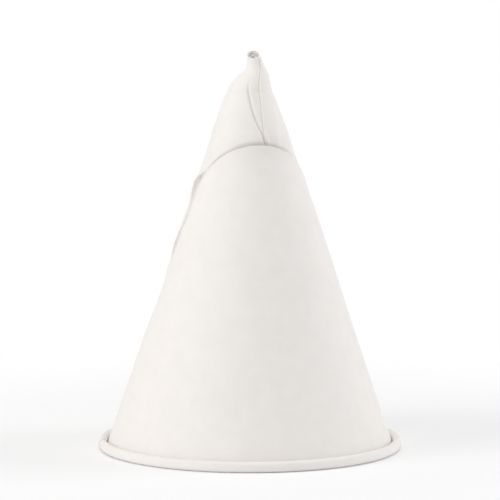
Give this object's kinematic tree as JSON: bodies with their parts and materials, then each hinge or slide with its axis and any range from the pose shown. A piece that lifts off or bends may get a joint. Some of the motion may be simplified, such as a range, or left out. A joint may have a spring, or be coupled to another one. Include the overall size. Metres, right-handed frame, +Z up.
{
  "type": "cone paper cup",
  "caption": "Plain white disposable cone cup of wound paper, with a rolled rim and a twisted closed tip, standing upside down on its rim.",
  "frame": {"origin": "middle of the rolled rim's footprint, on the surface that the cup stands on", "axes": "+Z up along the cone's axis, from the mouth to the tip; -Y is the front, where the free edge of the outer turn of paper comes nearest to the tip"},
  "size_m": [0.073, 0.0731, 0.096],
  "materials": {
    "paper": "matte uncoated"
  },
  "bodies": {
    "root": {"cup": "paper"}
  },
  "joints": []
}
